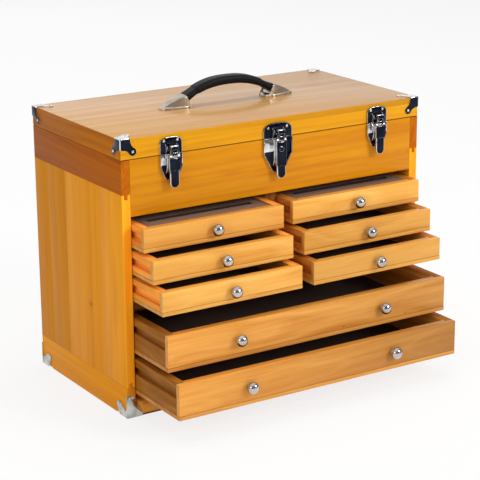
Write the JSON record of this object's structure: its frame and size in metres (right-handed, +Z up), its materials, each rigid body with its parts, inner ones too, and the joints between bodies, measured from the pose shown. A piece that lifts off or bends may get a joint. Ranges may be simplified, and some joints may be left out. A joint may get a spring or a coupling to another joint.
{
  "type": "machinist toolbox",
  "caption": "Wooden machinist's chest with a hinged lid, leather handle, draw latches, metal corner caps, felt-lined drawers on runners and a front cover stored beneath them.",
  "frame": {"origin": "middle of the underside of the chest's case, on the surface it stands on", "axes": "+X to the right along the front, +Y to the back, +Z up; the drawers and latches face -Y"},
  "size_m": [0.4532, 0.3648, 0.3942],
  "materials": {
    "rail_wood": "glossy varnish",
    "panel_wood": "glossy varnish",
    "front_wood": "glossy varnish",
    "inner_wood": "bare",
    "back_wood": "glossy varnish",
    "lid_wood": "glossy varnish",
    "lid_rail_wood": "glossy varnish",
    "drawer_wood": "glossy varnish",
    "cover_wood": "glossy varnish",
    "felt": "matt felt",
    "chrome": "polished",
    "cap_metal": "satin",
    "hinge_metal": "polished",
    "leather": "semi gloss",
    "nickel": "satin"
  },
  "bodies": {
    "case": {"side_upper_rail_left": "rail_wood", "side_upper_rail_right": "rail_wood", "side_panel_left": "panel_wood", "side_panel_right": "panel_wood", "side_lower_rail_left": "rail_wood", "side_lower_rail_right": "rail_wood", "till_front": "front_wood", "till_floor": "inner_wood", "till_felt": "felt", "back_panel": "back_wood", "bottom_panel": "inner_wood", "drawer_shelf": "inner_wood", "centre_divider": "inner_wood", "drawer_runners": "inner_wood", "base_corner_caps": "cap_metal", "case_nails": "cap_metal", "latch_bases": "chrome", "hinge_case_leaves": "hinge_metal"},
    "lid": {"lid_top": "lid_wood", "lid_front_rail": "lid_rail_wood", "lid_back_rail": "lid_rail_wood", "lid_side_rails": "lid_rail_wood", "lid_corner_caps": "chrome", "lid_nails": "chrome", "hinge_lid_leaves": "hinge_metal", "latch_catches": "chrome", "handle_grip": "leather", "handle_caps": "nickel"},
    "front_cover": {"front_cover": "cover_wood"},
    "drawer_left_1": {"drawer_left_1_box": "drawer_wood", "drawer_left_1_felt": "felt", "drawer_left_1_knob": "chrome"},
    "drawer_left_2": {"drawer_left_2_box": "drawer_wood", "drawer_left_2_felt": "felt", "drawer_left_2_knob": "chrome"},
    "drawer_left_3": {"drawer_left_3_box": "drawer_wood", "drawer_left_3_felt": "felt", "drawer_left_3_knob": "chrome"},
    "drawer_right_1": {"drawer_right_1_box": "drawer_wood", "drawer_right_1_felt": "felt", "drawer_right_1_knob": "chrome"},
    "drawer_right_2": {"drawer_right_2_box": "drawer_wood", "drawer_right_2_felt": "felt", "drawer_right_2_knob": "chrome"},
    "drawer_right_3": {"drawer_right_3_box": "drawer_wood", "drawer_right_3_felt": "felt", "drawer_right_3_knob": "chrome"},
    "drawer_wide_1": {"drawer_wide_1_box": "drawer_wood", "drawer_wide_1_felt": "felt", "drawer_wide_1_knobs": "chrome"},
    "drawer_wide_2": {"drawer_wide_2_box": "drawer_wood", "drawer_wide_2_felt": "felt", "drawer_wide_2_knobs": "chrome"},
    "latch_lever_left": {"latch_lever_left": "chrome"},
    "latch_claw_left": {"latch_claw_left": "chrome"},
    "latch_lever_middle": {"latch_lever_middle": "chrome"},
    "latch_claw_middle": {"latch_claw_middle": "chrome"},
    "latch_lever_right": {"latch_lever_right": "chrome"},
    "latch_claw_right": {"latch_claw_right": "chrome"}
  },
  "joints": [
    {"name": "lid_hinge", "type": "hinge", "parent": "case", "child": "lid", "pos_m": [0, 0.1225, 0.332], "axis": [-1, 0, 0], "range_deg": [0, 100]},
    {"name": "cover_slide", "type": "slide", "parent": "case", "child": "front_cover", "axis": [0, -1, 0], "range_m": [0, 0.18]},
    {"name": "drawer_left_1_slide", "type": "slide", "parent": "case", "child": "drawer_left_1", "axis": [0, -1, 0], "range_m": [-0.0435, 0.1285]},
    {"name": "drawer_left_2_slide", "type": "slide", "parent": "case", "child": "drawer_left_2", "axis": [0, -1, 0], "range_m": [-0.065, 0.107]},
    {"name": "drawer_left_3_slide", "type": "slide", "parent": "case", "child": "drawer_left_3", "axis": [0, -1, 0], "range_m": [-0.0855, 0.0865]},
    {"name": "drawer_right_1_slide", "type": "slide", "parent": "case", "child": "drawer_right_1", "axis": [0, -1, 0], "range_m": [-0.037, 0.135]},
    {"name": "drawer_right_2_slide", "type": "slide", "parent": "case", "child": "drawer_right_2", "axis": [0, -1, 0], "range_m": [-0.063, 0.109]},
    {"name": "drawer_right_3_slide", "type": "slide", "parent": "case", "child": "drawer_right_3", "axis": [0, -1, 0], "range_m": [-0.0845, 0.0875]},
    {"name": "drawer_wide_1_slide", "type": "slide", "parent": "case", "child": "drawer_wide_1", "axis": [0, -1, 0], "range_m": [-0.096, 0.076]},
    {"name": "drawer_wide_2_slide", "type": "slide", "parent": "case", "child": "drawer_wide_2", "axis": [0, -1, 0], "range_m": [-0.121, 0.051]},
    {"name": "latch_lever_left_pivot", "type": "hinge", "parent": "case", "child": "latch_lever_left", "pos_m": [-0.156, -0.1255, 0.329], "axis": [-1, 0, 0], "range_deg": [0, 66]},
    {"name": "latch_claw_left_pivot", "type": "hinge", "parent": "latch_lever_left", "child": "latch_claw_left", "pos_m": [-0.156, -0.1294, 0.331], "axis": [1, 0, 0], "range_deg": [0, 99]},
    {"name": "latch_lever_middle_pivot", "type": "hinge", "parent": "case", "child": "latch_lever_middle", "pos_m": [0, -0.1255, 0.329], "axis": [-1, 0, 0], "range_deg": [0, 66]},
    {"name": "latch_claw_middle_pivot", "type": "hinge", "parent": "latch_lever_middle", "child": "latch_claw_middle", "pos_m": [0, -0.1294, 0.331], "axis": [1, 0, 0], "range_deg": [0, 99]},
    {"name": "latch_lever_right_pivot", "type": "hinge", "parent": "case", "child": "latch_lever_right", "pos_m": [0.156, -0.1255, 0.329], "axis": [-1, 0, 0], "range_deg": [0, 66]},
    {"name": "latch_claw_right_pivot", "type": "hinge", "parent": "latch_lever_right", "child": "latch_claw_right", "pos_m": [0.156, -0.1294, 0.331], "axis": [1, 0, 0], "range_deg": [0, 99]}
  ],
  "couplings": [
    {"joint": "latch_claw_left_pivot", "follows": "latch_lever_left_pivot", "ratio": 1.5},
    {"joint": "latch_claw_middle_pivot", "follows": "latch_lever_middle_pivot", "ratio": 1.5},
    {"joint": "latch_claw_right_pivot", "follows": "latch_lever_right_pivot", "ratio": 1.5}
  ]
}
